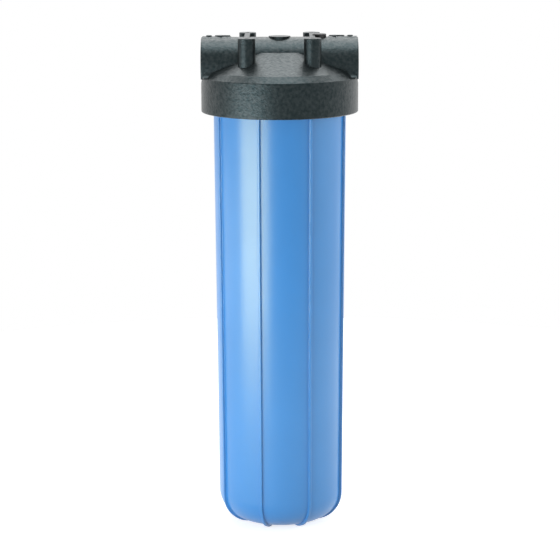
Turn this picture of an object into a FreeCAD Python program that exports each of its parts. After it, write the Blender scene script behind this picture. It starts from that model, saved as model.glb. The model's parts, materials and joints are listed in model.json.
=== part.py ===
import FreeCAD, Part
import Sketcher
import math
import os

# A large-diameter cartridge water filter housing, in millimetres, +Z up.
# The origin is the centre of the sump's feet, on the surface that it stands on.
# The two ports lie along X. The inlet is at +X, under the pressure-relief button.
#
# Blue sump:  a ribbed moulded cup whose eight ribs wrap under it as feet.
# Black cap:  a screw collar with a conical crown, a port tube across it, four posts
#             for the wall bracket's screws, and the water ways inside.
# Cartridge:  a pleated element between two end caps, sealed at both ends by a gasket.
# Relief:     a spring-loaded button that lifts a small O-ring off its seat.

ORIGIN = FreeCAD.Vector(0, 0, 0)
UP = FreeCAD.Vector(0, 0, 1)

doc = FreeCAD.newDocument("filter_housing")
sheet = doc.addObject("Spreadsheet::Sheet", "dims")
sheet.Label = "dims"


# ---------------------------------------------------------------- driving sizes

class Size:
    """A number together with the sheet expression that it comes from."""

    def __init__(self, value, text):
        self.value = value
        self.text = text

    def __add__(self, other):
        other = as_size(other)
        return Size(self.value + other.value, f"({self.text} + {other.text})")

    def __sub__(self, other):
        other = as_size(other)
        return Size(self.value - other.value, f"({self.text} - {other.text})")

    def __mul__(self, other):
        other = as_size(other)
        return Size(self.value * other.value, f"({self.text} * {other.text})")

    def __truediv__(self, other):
        other = as_size(other)
        return Size(self.value / other.value, f"({self.text} / {other.text})")

    def __neg__(self):
        return Size(-self.value, f"(0 - {self.text})")

    __radd__ = __add__
    __rmul__ = __mul__


def as_size(number):
    return number if isinstance(number, Size) else Size(float(number), str(number))


def size(name, value, note):
    """Write one driving size into the next row of the sheet and return it."""
    row = size.rows = size.rows + 1
    sheet.set(f"A{row}", note)
    sheet.set(f"B{row}", str(value))
    sheet.setAlias(f"B{row}", name)
    return Size(float(value), f"dims.{name}")


size.rows = 0

# Cartridge: the common 4.5 x 20 inch size
cartridge_length = size("cartridge_length", 508, "over both gaskets")
cartridge_radius = size("cartridge_radius", 57.15, "end cap radius")
cartridge_hole = size("cartridge_hole", 14.3, "hole radius in end caps and gaskets")
gasket_radius = size("gasket_radius", 25.4, "gasket outer radius")
gasket_thickness = size("gasket_thickness", 3, "gasket thickness")
end_cap_thickness = size("end_cap_thickness", 6, "floor of an end cap")
end_cap_lip = size("end_cap_lip", 6, "height of the lip round the pleats")
end_cap_lip_width = size("end_cap_lip_width", 2.4, "width of that lip")
core_radius = size("core_radius", 21, "core tube, outside")
core_wall = size("core_wall", 3, "core tube wall")
core_window_width = size("core_window_width", 11, "window round the core")
core_window_height = size("core_window_height", 22, "window along the core")
core_window_rows = size("core_window_rows", 16, "rows of windows")
core_window_turn = size("core_window_turn", 60, "degrees from one window to the next")
core_window_margin = size("core_window_margin", 24, "first and last window from the core's ends")
pleat_clearance = size("pleat_clearance", 0.5, "pleats to lip, and pleats to core")
pleat_thickness = size("pleat_thickness", 0.8, "medium thickness")
pleat_gap_tip = size("pleat_gap_tip", 1.2, "inner fold gap at the pleat's tip")
pleat_gap_root = size("pleat_gap_root", 0.7, "inner fold gap at the pleat's root")
pleat_count = size("pleat_count", 48, "pleats round the core")

# Sump
foot_height = size("foot_height", 2.5, "rib height, on the wall and under the floor")
floor_thickness = size("floor_thickness", 5.5, "sump floor")
seat_height = size("seat_height", 8, "cartridge seat above the floor")
mouth_margin = size("mouth_margin", 2, "sump mouth above the cartridge")
sump_wall = size("sump_wall", 5.5, "sump wall")
sump_top_radius = size("sump_top_radius", 78, "outside, under the neck")
sump_base_radius = size("sump_base_radius", 74.7, "outside, at the floor's corner")
sump_corner = size("sump_corner", 35, "outside radius of the floor's corner")
neck_step = size("neck_step", 4, "neck's thread root outside the wall below it")
neck_height = size("neck_height", 22.5, "neck below the mouth")
neck_chamfer = size("neck_chamfer", 4, "slope under the neck")
rib_width = size("rib_width", 3, "rib thickness")
rib_count = size("rib_count", 8, "ribs round the sump")
rib_turn = size("rib_turn", 27, "degrees from +X to the first rib")
hub_radius = size("hub_radius", 24, "foot ring where the ribs meet, outside")
hub_width = size("hub_width", 5, "width of that ring")
stub_radius = size("stub_radius", 12.9, "centring stub and cap nose, outside")
stub_height = size("stub_height", 20, "centring stub above the floor")
stub_wall = size("stub_wall", 2.2, "centring stub and cap nose, wall")
seat_inner = size("seat_inner", 18, "cartridge seat, inside")
seat_width = size("seat_width", 5, "cartridge seat, width")

# O-ring between sump and cap
seal_section = size("seal_section", 2.2, "O-ring section radius")
seal_clearance = size("seal_clearance", 0.25, "O-ring to groove and to cap")
land_gap = size("land_gap", 0.7, "sump mouth to cap")

# Cap: collar and crown
thread_room = size("thread_room", 4, "neck to collar, thread root to thread root")
collar_wall = size("collar_wall", 6.4, "collar wall")
collar_depth = size("collar_depth", 27.1, "collar below the sealing land")
collar_rise = size("collar_rise", 13.8, "collar rim above the sealing land")
collar_edge = size("collar_edge", 1, "rounding of the rim and of the skirt's edge")
crown_inset = size("crown_inset", 8, "crown's slope ends this far inside the collar")
crown_step = size("crown_step", 7.3, "crown edge above the rim")
crown_flat = size("crown_flat", 35, "radius of the flat in the middle")
crown_rise = size("crown_rise", 22.5, "flat above the crown edge")
crown_wall = size("crown_wall", 7, "crown wall, measured upright")

# Cap: port tube and water ways
port_span = size("port_span", 183.5, "port face to port face")
port_height = size("port_height", 27.5, "port axis above the sealing land")
tube_radius = size("tube_radius", 32.3, "port tube, outside")
tube_edge = size("tube_edge", 1.2, "rounding of the port faces' edges")
gusset_radius = size("gusset_radius", 9, "concave gusset from the port tube to the rim")
gusset_length = size("gusset_length", 26, "gusset along the tube")
gusset_bite = size("gusset_bite", 0.8, "gusset into the tube")
gusset_reach = size("gusset_reach", 3, "gusset past the collar, like the tube above it")
gusset_bevel = size("gusset_bevel", 6.5, "bevel on the gusset's outer corner")
thread_radius = size("thread_radius", 22.3, "port thread, tapping bore radius")
thread_length = size("thread_length", 26, "port thread depth")
way_radius = size("way_radius", 19, "water way behind the threads")
way_wall = size("way_wall", 4.5, "wall of the outlet's inner tube")
inlet_stop = size("inlet_stop", 30, "inlet water way ends this far from the axis")
outlet_overrun = size("outlet_overrun", 8, "outlet water way runs this far past the axis")
spigot_radius = size("spigot_radius", 24, "outlet spigot, outside")
spigot_throat = size("spigot_throat", 17, "outlet spigot, upper bore radius")
spigot_gap = size("spigot_gap", 0.3, "spigot to the cartridge's top gasket")
nose_length = size("nose_length", 16, "nose below the spigot")

# Cap: bracket posts
post_radius = size("post_radius", 10.1, "post, outside")
post_x = size("post_x", 38, "post axis from the middle, along the ports")
post_y = size("post_y", 44.7, "post axis from the middle, across the ports")
post_height = size("post_height", 61.7, "post top above the sealing land")
post_edge = size("post_edge", 0.8, "rounding of the post tops")
post_hole = size("post_hole", 2.6, "pilot hole radius")
post_hole_depth = size("post_hole_depth", 22, "pilot hole depth")
bridge_width = size("bridge_width", 6, "rib from front post to rear post")
boss_radius = size("boss_radius", 12.8, "round boss in the middle of the tube")
boss_proud = size("boss_proud", 0.9, "boss above the top of the tube")

# Pressure relief
relief_x = size("relief_x", 46.6, "button axis from the middle")
button_radius = size("button_radius", 8.1, "button head")
button_proud = size("button_proud", 3.7, "button head above the tube")
button_height = size("button_height", 7, "button head, whole height")
button_wall = size("button_wall", 1.5, "skirt of the button head")
button_roof = size("button_roof", 3, "solid top of the button head")
button_edge = size("button_edge", 1, "rounding of the button head")
button_clearance = size("button_clearance", 0.5, "button head to its pocket, all round")
button_travel = size("button_travel", 2.5, "press, rest to stop")
button_stop_gap = size("button_stop_gap", 1.2, "button skirt to the pocket floor when pressed")
stem_radius = size("stem_radius", 2.5, "button stem")
stem_clearance = size("stem_clearance", 0.1, "stem to its hole, all round")
stem_tail = size("stem_tail", 1.3, "stem past the retaining ring")
seat_pad_radius = size("seat_pad_radius", 8.5, "valve seat pad")
seat_pad_drop = size("seat_pad_drop", 3.7, "valve seat pad below the water way's roof")
valve_seal_radius = size("valve_seal_radius", 4, "valve O-ring centreline")
valve_seal_section = size("valve_seal_section", 1.25, "valve O-ring section radius")
valve_clearance = size("valve_clearance", 0.15, "valve O-ring to seat and to washer")
washer_radius = size("washer_radius", 6.5, "valve washer")
washer_thickness = size("washer_thickness", 1.4, "valve washer thickness")
clip_radius = size("clip_radius", 4.2, "retaining ring, outside")
clip_groove = size("clip_groove", 1.9, "retaining groove, bottom radius")
clip_thickness = size("clip_thickness", 0.8, "retaining ring thickness")
clip_play = size("clip_play", 0.05, "retaining ring in its groove, each way")
clip_mouth = size("clip_mouth", 3, "opening of the retaining ring")
spring_radius = size("spring_radius", 4.9, "spring coil, centreline")
spring_wire = size("spring_wire", 0.45, "spring wire, half its width across flats")
spring_turns = size("spring_turns", 4, "spring turns")
spring_clearance = size("spring_clearance", 0.05, "spring end to what it presses on")

# Radii that follow from the sizes above
sump_bore = sump_top_radius - sump_wall
neck_radius = sump_top_radius + neck_step
seal_radius = (sump_bore + neck_radius) / 2
collar_bore = neck_radius + thread_room
collar_radius = collar_bore + collar_wall
crown_radius = collar_radius - crown_inset

# Heights that follow from the sizes above
floor_top = foot_height + floor_thickness
cartridge_bottom = floor_top + seat_height
cartridge_top = cartridge_bottom + cartridge_length
mouth = cartridge_top + mouth_margin
neck_bottom = mouth - neck_height
land = mouth + land_gap
groove_floor = land - 2 * seal_section - 2 * seal_clearance
collar_bottom = land - collar_depth
collar_top = land + collar_rise
tube_foot = collar_top - collar_edge
crown_edge = collar_top + crown_step
crown_top = crown_edge + crown_rise
port_axis = land + port_height
tube_top = port_axis + tube_radius
post_top = land + post_height
spigot_face = cartridge_top + spigot_gap
button_top = tube_top + button_proud
button_bottom = button_top - button_height
pocket_floor = button_bottom - button_travel - button_stop_gap
valve_seat = port_axis + way_radius - seat_pad_drop
washer_top = valve_seat - 2 * valve_seal_section - 2 * valve_clearance
washer_bottom = washer_top - washer_thickness
clip_top = washer_bottom - clip_play
clip_bottom = clip_top - clip_thickness


# ---------------------------------------------------------------- modelling helpers

def bind(feature, prop, number):
    """Drive a property with the sheet expression of a Size."""
    feature.setExpression(prop, as_size(number).text)


def new_body(label):
    body = doc.addObject("PartDesign::Body", label)
    body.Label = label
    return body


def base_feature(body, role):
    """One of the body's own base planes or axes."""
    return next(f for f in body.Origin.OriginFeatures if f.Role == role)


def new_sketch(body, name, role, lift=None):
    """A sketch on one of the body's own base planes, or lifted off it."""
    sketch = body.newObject("Sketcher::SketchObject", name)
    sketch.AttachmentSupport = [(base_feature(body, role), "")]
    sketch.MapMode = "FlatFace"
    if lift is not None:
        bind(sketch, "AttachmentOffset.Base.z", lift)
    return sketch


def constrain(sketch, kind, ends, number):
    """Add a driven dimension between two points, or on one curve."""
    index = sketch.addConstraint(Sketcher.Constraint(kind, *ends, number.value))
    sketch.setExpression(f"Constraints[{index}]", number.text)


def locate(sketch, point, x, y):
    """Place a sketch point, given as (geometry, end), by its distances from the origin."""
    for kind, number in (("DistanceX", as_size(x)), ("DistanceY", as_size(y))):
        if number.value < 0:
            constrain(sketch, kind, (*point, -1, 1), -number)
        else:
            constrain(sketch, kind, (-1, 1, *point), number)


def outline(sketch, corners):
    """Close a profile through corners (x, y) or (x, y, rounding radius)."""
    places = [FreeCAD.Vector(as_size(c[0]).value, as_size(c[1]).value, 0) for c in corners]
    count = len(corners)
    starts, ends, rounds = list(places), list(places), {}
    for i, corner in enumerate(corners):
        if len(corner) < 3:
            continue
        before = (places[i - 1] - places[i]).normalize()
        after = (places[(i + 1) % count] - places[i]).normalize()
        half = before.getAngle(after) / 2
        reach = corner[2].value / math.tan(half)
        centre = places[i] + (before + after).normalize() * (corner[2].value / math.sin(half))
        ends[i] = places[i] + before * reach
        starts[i] = places[i] + after * reach
        rounds[i] = centre
    lines = [
        sketch.addGeometry(Part.LineSegment(starts[i], ends[(i + 1) % count]), False)
        for i in range(count)
    ]
    for i, corner in enumerate(corners):
        arriving, leaving = lines[i - 1], lines[i]
        if i not in rounds:
            sketch.addConstraint(Sketcher.Constraint("Coincident", arriving, 2, leaving, 1))
            locate(sketch, (leaving, 1), corner[0], corner[1])
            continue
        centre, radius = rounds[i], corner[2]
        middle = centre + (places[i] - centre).normalize() * radius.value
        left_hand = (middle - ends[i]).cross(starts[i] - middle).z > 0
        if left_hand:
            curve, first, last = Part.Arc(ends[i], middle, starts[i]), 1, 2
        else:
            curve, first, last = Part.Arc(starts[i], middle, ends[i]), 2, 1
        arc = sketch.addGeometry(curve, False)
        corner_point = sketch.addGeometry(Part.Point(places[i]), True)
        sketch.addConstraint(Sketcher.Constraint("Tangent", arriving, 2, arc, first))
        sketch.addConstraint(Sketcher.Constraint("Tangent", arc, last, leaving, 1))
        sketch.addConstraint(Sketcher.Constraint("PointOnObject", corner_point, 1, arriving))
        sketch.addConstraint(Sketcher.Constraint("PointOnObject", corner_point, 1, leaving))
        constrain(sketch, "Radius", (arc,), radius)
        locate(sketch, (corner_point, 1), corner[0], corner[1])


def circle(sketch, x, y, radius):
    radius = as_size(radius)
    centre = FreeCAD.Vector(as_size(x).value, as_size(y).value, 0)
    index = sketch.addGeometry(Part.Circle(centre, UP, radius.value), False)
    constrain(sketch, "Radius", (index,), radius)
    locate(sketch, (index, 3), x, y)


def rectangle(sketch, left, bottom, right, top):
    outline(sketch, [(left, bottom), (right, bottom), (right, top), (left, top)])


def turn(body, kind, name, sketch):
    """Revolve a profile, or cut a groove with it, all the way round the upright axis."""
    feature = body.newObject(f"PartDesign::{kind}", name)
    feature.Profile = sketch
    feature.ReferenceAxis = (sketch, ["V_Axis"])
    feature.Angle = 360
    return feature


def extrude(body, kind, name, sketch, length, both_ways=False, reverse=False):
    """Pad or pocket a profile by a driven length, or by half of it each way."""
    feature = body.newObject(f"PartDesign::{kind}", name)
    feature.Profile = sketch
    bind(feature, "Length", length)
    feature.SideType = "Symmetric" if both_ways else "One side"
    feature.Reversed = reverse
    return feature


def mirror(body, name, feature):
    """Repeat a feature on the other side of the YZ plane."""
    second = body.newObject("PartDesign::Mirrored", name)
    second.Originals = [feature]
    second.MirrorPlane = (base_feature(body, "YZ_Plane"), [""])
    body.Tip = second


def dress(body, kind, name, base, chosen, number):
    """Fillet or chamfer the edges of base that the test chosen picks."""
    doc.recompute()
    edges = [f"Edge{i + 1}" for i, e in enumerate(base.Shape.Edges) if chosen(e)]
    feature = body.newObject(f"PartDesign::{kind}", name)
    feature.Base = (base, edges)
    bind(feature, "Radius" if kind == "Fillet" else "Size", number)
    return feature


def is_ring(edge, radius, height, x=None, y=None):
    """True for a level circle, or an arc of one, of this radius and height."""
    if not isinstance(edge.Curve, Part.Circle) or abs(abs(edge.Curve.Axis.z) - 1) > 1e-6:
        return False
    centre = edge.Curve.Center
    level = abs(edge.Curve.Radius - radius.value) < 1e-3 and abs(centre.z - height.value) < 1e-3
    placed = x is None or math.hypot(abs(centre.x) - x.value, abs(centre.y) - y.value) < 1e-3
    return level and placed


# ---------------------------------------------------------------- sump

def make_sump():
    """The blue cup: tapered wall, rounded floor, screw neck, ribs, feet and seat."""
    body = new_body("sump")
    profile = new_sketch(body, "sump_profile", "XZ_Plane")
    outline(profile, [
        (0, foot_height),
        (sump_base_radius, foot_height, sump_corner),
        (sump_top_radius, neck_bottom - neck_chamfer),
        (neck_radius, neck_bottom),
        (neck_radius, mouth),
        (sump_bore, mouth),
        (sump_bore, neck_bottom - neck_chamfer),
        (sump_base_radius - sump_wall, floor_top, sump_corner - sump_wall),
        (0, floor_top),
    ])
    turn(body, "Revolution", "sump_cup", profile)

    groove = new_sketch(body, "seal_groove_profile", "XZ_Plane")
    half = seal_section + seal_clearance
    rectangle(groove, seal_radius - half, groove_floor, seal_radius + half, mouth + 1)
    turn(body, "Groove", "seal_groove", groove)

    seat = new_sketch(body, "cartridge_seat_profile", "XZ_Plane")
    bite = floor_thickness / 2
    rectangle(seat, seat_inner, floor_top - bite, seat_inner + seat_width, cartridge_bottom)
    turn(body, "Revolution", "cartridge_seat", seat)

    stub = new_sketch(body, "centring_stub_profile", "XZ_Plane")
    stub_top = floor_top + stub_height
    outline(stub, [
        (stub_radius - stub_wall, floor_top - bite),
        (stub_radius, floor_top - bite),
        (stub_radius, stub_top - stub_wall),
        (stub_radius - stub_wall / 2, stub_top),
        (stub_radius - stub_wall, stub_top),
    ])
    turn(body, "Revolution", "centring_stub", stub)

    hub = new_sketch(body, "foot_ring_profile", "XZ_Plane")
    rectangle(hub, hub_radius - hub_width, 0, hub_radius, foot_height + bite)
    turn(body, "Revolution", "foot_ring", hub)

    # One rib follows the wall from the neck down and round the corner to the foot ring.
    rib = new_sketch(body, "rib_profile", "XZ_Plane")
    skin = sump_wall / 4
    outline(rib, [
        (hub_radius - hub_width / 2, 0),
        (sump_base_radius + foot_height, 0, sump_corner + foot_height),
        (sump_top_radius + foot_height, neck_bottom - neck_chamfer),
        (sump_top_radius - skin, neck_bottom - neck_chamfer),
        (sump_base_radius - skin, foot_height + skin, sump_corner - skin),
        (hub_radius - hub_width / 2, foot_height + skin),
    ])
    first = extrude(body, "Pad", "rib", rib, rib_width, both_ways=True)
    ribs = body.newObject("PartDesign::PolarPattern", "ribs")
    ribs.Originals = [first]
    ribs.Axis = (base_feature(body, "Z_Axis"), [""])
    ribs.Angle = 360
    bind(ribs, "Occurrences", rib_count)
    body.Tip = ribs

    body.Placement = FreeCAD.Placement(ORIGIN, FreeCAD.Rotation(UP, rib_turn.value))
    bind(body, "Placement.Rotation.Angle", rib_turn)
    return body


# ---------------------------------------------------------------- seals

def make_ring(label, centreline, section, x, height):
    """An O-ring as a torus lying level."""
    ring = doc.addObject("Part::Torus", label)
    ring.Label = label
    bind(ring, "Radius1", centreline)
    bind(ring, "Radius2", section)
    bind(ring, "Placement.Base.x", x)
    bind(ring, "Placement.Base.z", height)
    return ring


def make_sump_o_ring():
    height = groove_floor + seal_clearance + seal_section
    return make_ring("sump_o_ring", seal_radius, seal_section, 0, height)


def make_relief_o_ring():
    height = valve_seat - valve_clearance - valve_seal_section
    return make_ring("relief_o_ring", valve_seal_radius, valve_seal_section, relief_x, height)


# ---------------------------------------------------------------- cap

def make_cap():
    """The black cap: outside first, then its water ways, seat and screw holes."""
    body = new_body("cap")
    add_collar_and_crown(body)
    add_port_gussets(body)
    add_port_tube(body)
    add_posts(body)
    hollow_cap(body)
    cut_water_ways(body)
    cut_relief_seat(body)
    return body


def add_port_tube(body):
    """The tube across the crown, cut off flat just inside the collar's rim."""
    section = new_sketch(body, "port_tube_section", "YZ_Plane")
    low = math.asin((tube_foot.value - port_axis.value) / tube_radius.value)
    whole = Part.Circle(FreeCAD.Vector(0, port_axis.value, 0), UP, tube_radius.value)
    arc = section.addGeometry(Part.ArcOfCircle(whole, low, math.pi - low), False)
    right, left = section.Geometry[arc].StartPoint, section.Geometry[arc].EndPoint
    chord = section.addGeometry(Part.LineSegment(left, right), False)
    section.addConstraint(Sketcher.Constraint("Coincident", arc, 2, chord, 1))
    section.addConstraint(Sketcher.Constraint("Coincident", chord, 2, arc, 1))
    locate(section, (arc, 3), 0, port_axis)
    constrain(section, "Radius", (arc,), tube_radius)
    constrain(section, "DistanceY", (-1, 1, arc, 1), tube_foot)
    constrain(section, "DistanceY", (-1, 1, arc, 2), tube_foot)
    tube = extrude(body, "Pad", "port_tube", section, port_span, both_ways=True)

    def on_port_edge(edge):
        round_edge = isinstance(edge.Curve, Part.Circle) and abs(edge.Curve.Axis.x) > 0.999
        return round_edge and abs(abs(edge.Curve.Center.x) - port_span.value / 2) < 1e-3

    dress(body, "Fillet", "port_face_edges", tube, on_port_edge, tube_edge)


def add_collar_and_crown(body):
    """The screw collar with its rounded rim, and the conical crown on it."""
    crown = new_sketch(body, "crown_profile", "XZ_Plane")
    outline(crown, [
        (0, collar_bottom),
        (collar_radius, collar_bottom, collar_edge),
        (collar_radius, collar_top, collar_edge),
        (crown_radius, crown_edge),
        (crown_flat, crown_top),
        (0, crown_top),
    ])
    turn(body, "Revolution", "collar_and_crown", crown)


def add_port_gussets(body):
    """Concave gussets along the port tube, bevelled where they pass the collar."""
    inner = tube_radius - gusset_bite
    foot = inner + gusset_radius + gusset_bite
    top = collar_top + gusset_radius + gusset_bite
    section = new_sketch(body, "gusset_section", "YZ_Plane", port_span / 2 - 2 * tube_edge)
    outline(section, [
        (-foot, tube_foot),
        (-foot, collar_top),
        (-inner, collar_top, gusset_radius),
        (-inner, top),
        (inner, top),
        (inner, collar_top, gusset_radius),
        (foot, collar_top),
        (foot, tube_foot),
    ])
    first = extrude(body, "Pad", "inlet_gusset", section, gusset_length, reverse=True)
    mirror(body, "outlet_gusset", first)

    reach = collar_radius + gusset_reach
    clear = reach + foot
    corner = new_sketch(body, "gusset_corner_profile", "XZ_Plane")
    outline(corner, [
        (reach - gusset_bevel, top),
        (reach, top - gusset_bevel),
        (reach, collar_top),
        (collar_radius, collar_top),
        (collar_radius, tube_foot),
        (clear, tube_foot),
        (clear, top),
    ])
    turn(body, "Groove", "gusset_corners", corner)


def add_posts(body):
    """Four posts for the bracket screws, a bridge rib over each pair, and the boss."""
    posts = new_sketch(body, "post_sections", "XY_Plane", collar_top)
    for x in (post_x, -post_x):
        for y in (post_y, -post_y):
            circle(posts, x, y, post_radius)
    extrude(body, "Pad", "posts", posts, post_top - collar_top)

    bridges = new_sketch(body, "bridge_sections", "XY_Plane", collar_top)
    for x in (post_x, -post_x):
        half = bridge_width / 2
        rectangle(bridges, x - half, -post_y, x + half, post_y)
    bridged = extrude(body, "Pad", "bridge_ribs", bridges, post_top - collar_top)

    def on_post_top(edge):
        return is_ring(edge, post_radius, post_top, post_x, post_y)

    dress(body, "Fillet", "post_top_edges", bridged, on_post_top, post_edge)

    boss = new_sketch(body, "centre_boss_section", "XY_Plane", port_axis)
    circle(boss, 0, 0, boss_radius)
    extrude(body, "Pad", "centre_boss", boss, tube_radius + boss_proud)


def hollow_cap(body):
    """The collar's bore, the sealing land and the chamber under the crown."""
    inside = new_sketch(body, "chamber_profile", "XZ_Plane")
    slope = crown_rise / (crown_radius - crown_flat)
    chamber_edge = crown_edge + (crown_radius - sump_bore) * slope - crown_wall
    lead = collar_wall / 3
    outline(inside, [
        (0, collar_bottom - 1),
        (collar_bore + lead, collar_bottom - 1),
        (collar_bore + lead, collar_bottom),
        (collar_bore, collar_bottom + lead),
        (collar_bore, land),
        (sump_bore, land),
        (sump_bore, chamber_edge),
        (crown_flat, crown_top - crown_wall),
        (0, crown_top - crown_wall),
    ])
    turn(body, "Groove", "chamber", inside)


def cut_water_ways(body):
    """Inlet into the chamber; outlet through a closed tube to the spigot and its nose."""
    outlet = new_sketch(body, "outlet_tube_section", "YZ_Plane")
    circle(outlet, 0, port_axis, way_radius + way_wall)
    extrude(body, "Pad", "outlet_tube", outlet, collar_bore, reverse=True)

    spigot = new_sketch(body, "spigot_profile", "XZ_Plane")
    outline(spigot, [
        (0, spigot_face - nose_length),
        (stub_radius - stub_wall / 2, spigot_face - nose_length),
        (stub_radius, spigot_face - nose_length + stub_wall),
        (stub_radius, spigot_face),
        (spigot_radius, spigot_face),
        (spigot_radius, crown_top - crown_wall),
        (0, crown_top - crown_wall),
    ])
    turn(body, "Revolution", "spigot", spigot)

    funnel = new_sketch(body, "outlet_bore_profile", "XZ_Plane")
    nose_bore = stub_radius - stub_wall
    outline(funnel, [
        (0, spigot_face - nose_length - 1),
        (nose_bore, spigot_face - nose_length - 1),
        (nose_bore, spigot_face),
        (spigot_throat, spigot_face + spigot_throat - nose_bore),
        (spigot_throat, port_axis),
        (0, port_axis),
    ])
    turn(body, "Groove", "outlet_bore", funnel)

    outlet_way = new_sketch(body, "outlet_way_section", "YZ_Plane", outlet_overrun)
    circle(outlet_way, 0, port_axis, way_radius)
    extrude(body, "Pocket", "outlet_way", outlet_way, outlet_overrun + port_span / 2)

    inlet_way = new_sketch(body, "inlet_way_section", "YZ_Plane", inlet_stop)
    circle(inlet_way, 0, port_axis, way_radius)
    extrude(body, "Pocket", "inlet_way", inlet_way, port_span / 2 - inlet_stop, reverse=True)

    # The cut starts outside the port's face, to clear the rim where that stands past it
    thread = new_sketch(body, "port_thread_section", "YZ_Plane", port_span / 2 + collar_wall)
    circle(thread, 0, port_axis, thread_radius)
    first = extrude(body, "Pocket", "inlet_thread", thread, thread_length + collar_wall)
    mirror(body, "outlet_thread", first)

    pilot = new_sketch(body, "pilot_hole_sections", "XY_Plane", post_top)
    for x in (post_x, -post_x):
        for y in (post_y, -post_y):
            circle(pilot, x, y, post_hole)
    extrude(body, "Pocket", "pilot_holes", pilot, post_hole_depth)


def cut_relief_seat(body):
    """Spring pocket, stem hole and the flat valve seat in the roof of the inlet."""
    pad = new_sketch(body, "valve_seat_section", "XY_Plane", valve_seat)
    circle(pad, relief_x, 0, seat_pad_radius)
    extrude(body, "Pad", "valve_seat", pad, pocket_floor - valve_seat)

    pocket = new_sketch(body, "spring_pocket_section", "XY_Plane", button_top)
    circle(pocket, relief_x, 0, button_radius + button_clearance)
    extrude(body, "Pocket", "spring_pocket", pocket, button_top - pocket_floor)

    hole = new_sketch(body, "stem_hole_section", "XY_Plane", button_top)
    circle(hole, relief_x, 0, stem_radius + stem_clearance)
    bored = extrude(body, "Pocket", "stem_hole", hole, button_top - valve_seat + seat_pad_drop)
    body.Tip = bored


# ---------------------------------------------------------------- pressure relief

def make_relief_button():
    """The button head, hollow for the spring, and its stem with the ring groove."""
    body = new_body("relief_button")
    profile = new_sketch(body, "button_profile", "XZ_Plane")
    clip_low = clip_bottom - clip_play
    clip_high = clip_top + clip_play
    roof = button_top - button_roof
    outline(profile, [
        (0, clip_low - stem_tail),
        (stem_radius, clip_low - stem_tail),
        (stem_radius, clip_low),
        (clip_groove, clip_low),
        (clip_groove, clip_high),
        (stem_radius, clip_high),
        (stem_radius, roof),
        (button_radius - button_wall, roof),
        (button_radius - button_wall, button_bottom),
        (button_radius, button_bottom),
        (button_radius, button_top, button_edge),
        (0, button_top),
    ])
    turn(body, "Revolution", "button_and_stem", profile)
    bind(body, "Placement.Base.x", relief_x)
    return body


def make_relief_washer():
    body = new_body("relief_washer")
    profile = new_sketch(body, "washer_profile", "XZ_Plane")
    rectangle(profile, stem_radius + clip_play, washer_bottom, washer_radius, washer_top)
    turn(body, "Revolution", "washer", profile)
    bind(body, "Placement.Base.x", relief_x)
    return body


def make_relief_retaining_ring():
    """A flat spring-steel ring, open at one side, snapped into the stem's groove."""
    body = new_body("relief_retaining_ring")
    profile = new_sketch(body, "ring_profile", "XZ_Plane")
    rectangle(profile, clip_groove + clip_play, clip_bottom, clip_radius, clip_top)
    turn(body, "Revolution", "flat_ring", profile)
    mouth_cut = new_sketch(body, "ring_mouth", "XY_Plane", clip_top)
    half = clip_mouth / 2
    rectangle(mouth_cut, 0, -half, clip_radius + 1, half)
    extrude(body, "Pocket", "ring_opening", mouth_cut, clip_thickness)
    bind(body, "Placement.Base.x", relief_x)
    return body


def make_relief_spring():
    """An open-coil spring between the pocket's floor and the button, its wire eight-sided."""
    body = new_body("relief_spring")
    low = pocket_floor + spring_clearance + spring_wire
    high = button_top - button_roof - spring_clearance - spring_wire
    wire = new_sketch(body, "spring_wire_section", "XZ_Plane")
    near = spring_wire * math.tan(math.pi / 8)
    outline(wire, [
        (spring_radius + along * a, low + up * b)
        for along, up, a, b in (
            (1, -1, spring_wire, near), (1, 1, spring_wire, near),
            (1, 1, near, spring_wire), (-1, 1, near, spring_wire),
            (-1, 1, spring_wire, near), (-1, -1, spring_wire, near),
            (-1, -1, near, spring_wire), (1, -1, near, spring_wire),
        )
    ])
    coil = body.newObject("PartDesign::AdditiveHelix", "spring_coil")
    coil.Profile = wire
    coil.ReferenceAxis = (wire, ["V_Axis"])
    coil.Mode = "height-turns-angle"
    bind(coil, "Height", high - low)
    bind(coil, "Turns", spring_turns)
    coil.Angle = 0
    bind(body, "Placement.Base.x", relief_x)
    return body


# ---------------------------------------------------------------- cartridge

def make_end_cap(label, base, sign):
    """A cartridge end cap: a disc with a lip that holds the ends of the pleats."""
    body = new_body(label)
    profile = new_sketch(body, f"{label}_profile", "XZ_Plane")
    inner_face = base + sign * end_cap_thickness
    lip_face = inner_face + sign * end_cap_lip
    outline(profile, [
        (cartridge_hole, base),
        (cartridge_radius, base),
        (cartridge_radius, lip_face),
        (cartridge_radius - end_cap_lip_width, lip_face),
        (cartridge_radius - end_cap_lip_width, inner_face),
        (cartridge_hole, inner_face),
    ])
    turn(body, "Revolution", f"{label}_disc", profile)
    return body


def make_gasket(label, low):
    body = new_body(label)
    profile = new_sketch(body, f"{label}_profile", "XZ_Plane")
    rectangle(profile, cartridge_hole, low, gasket_radius, low + gasket_thickness)
    turn(body, "Revolution", f"{label}_ring", profile)
    return body


element_bottom = cartridge_bottom + gasket_thickness + end_cap_thickness
element_top = cartridge_top - gasket_thickness - end_cap_thickness


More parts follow.
